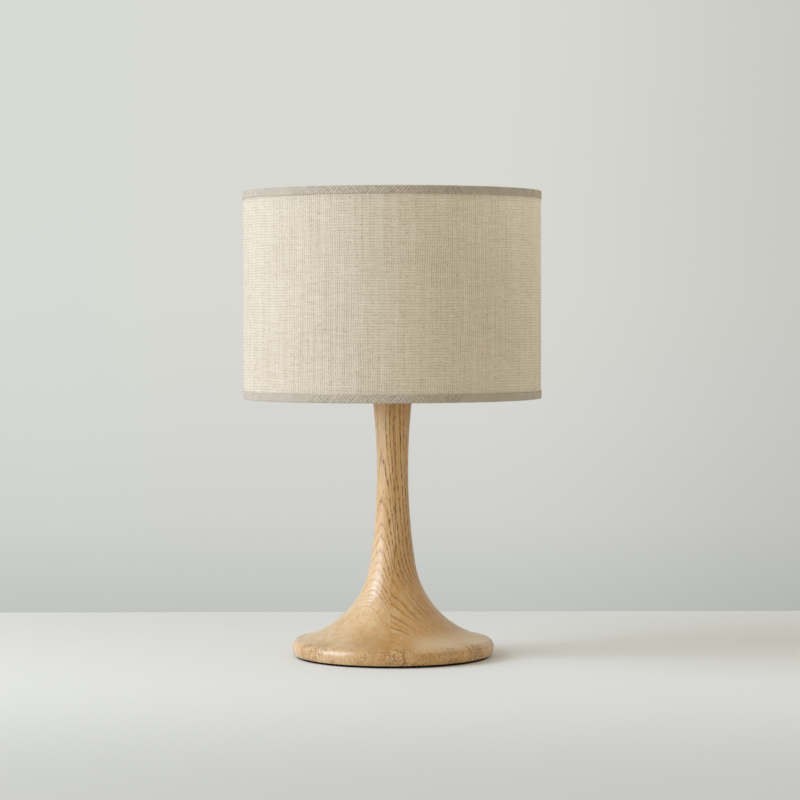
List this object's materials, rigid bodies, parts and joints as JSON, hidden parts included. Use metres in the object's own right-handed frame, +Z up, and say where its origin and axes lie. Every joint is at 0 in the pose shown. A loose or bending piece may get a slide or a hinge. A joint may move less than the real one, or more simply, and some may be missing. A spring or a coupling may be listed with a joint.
{
  "type": "table lamp",
  "caption": "Table lamp with a flared turned wooden base and slim column, a screw-in bulb in a push-bar holder, and a linen drum shade.",
  "frame": {"origin": "centre of the face the lamp stands on, under the column's axis", "axes": "+Z up along the column, -Y towards the front, +Y towards the cord hole at the back"},
  "size_m": [0.3014, 0.3014, 0.4686],
  "materials": {
    "felt": "matte felt",
    "wood": "clear satin lacquer",
    "zinc_steel": "zinc plated",
    "brass": "plain",
    "phenolic": "moulded black",
    "porcelain": "glazed white",
    "bulb_metal": "plain",
    "bulb_glass": "clear",
    "bulb_glazing": "dark glazing",
    "filament": "phosphor coating",
    "linen": "slubbed natural weave",
    "liner": "white film",
    "trim": "bias-cut natural weave",
    "white_wire": "white enamel"
  },
  "bodies": {
    "base": {"base_pad": "felt", "turned_body": "wood", "cord_inlet_bush": "phenolic", "threaded_tube": "zinc_steel", "plate_washer": "zinc_steel", "base_nut": "zinc_steel", "small_washer": "zinc_steel", "locknut": "zinc_steel", "seat_disc": "brass", "holder_cap": "phenolic", "grub_screw": "zinc_steel", "holder_skirt": "phenolic", "holder_insert": "porcelain", "screw_shell": "brass", "centre_contact": "brass", "terminal_blocks": "brass", "terminal_screws": "zinc_steel", "lever_pin": "zinc_steel", "lower_shade_ring": "phenolic"},
    "switch_bar": {"switch_bar": "phenolic"},
    "switch_lever": {"switch_lever": "phenolic"},
    "clamp_ring": {"upper_shade_ring": "phenolic"},
    "bulb_contact": {"bulb_tip": "bulb_metal"},
    "bulb": {"bulb_cap": "bulb_metal", "bulb_glass": "bulb_glass", "bulb_glazing": "bulb_glazing", "bulb_stem": "bulb_glass", "bulb_filaments": "filament", "bulb_leads": "zinc_steel"},
    "shade": {"shade_linen": "linen", "shade_liner": "liner", "shade_top_trim": "trim", "shade_bottom_trim": "trim", "shade_top_wire": "white_wire", "shade_bottom_wire": "white_wire", "fitter_ring": "white_wire", "fitter_spoke_1": "white_wire", "fitter_spoke_2": "white_wire", "fitter_spoke_3": "white_wire"}
  },
  "joints": [
    {"name": "shade_swivel", "type": "hinge", "parent": "base", "child": "shade", "pos_m": [0, 0, 0.3081], "axis": [0, 0, 1], "continuous": true},
    {"name": "shade_ring_turn", "type": "hinge", "parent": "base", "child": "clamp_ring", "pos_m": [0, 0, 0.3132], "axis": [0, 0, 1], "continuous": true},
    {"name": "bulb_rise", "type": "slide", "parent": "base", "child": "bulb_contact", "axis": [0, 0, 1], "range_m": [0, 0.01632]},
    {"name": "bulb_turn", "type": "hinge", "parent": "bulb_contact", "child": "bulb", "pos_m": [0, 0, 0.33], "axis": [0, 0, 1], "range_deg": [0, 1620]},
    {"name": "switch_bar_slide", "type": "slide", "parent": "base", "child": "switch_bar", "axis": [1, 0, 0], "range_m": [0, 0.006]},
    {"name": "switch_lever_rock", "type": "hinge", "parent": "base", "child": "switch_lever", "pos_m": [0, 0, 0.2995], "axis": [0, 1, 0], "range_deg": [-32.8, 0]}
  ],
  "couplings": [
    {"joint": "bulb_turn", "follows": "bulb_rise", "rad_per_m": 1731.4},
    {"joint": "switch_lever_rock", "follows": "switch_bar_slide", "rad_per_m": -95.238}
  ]
}
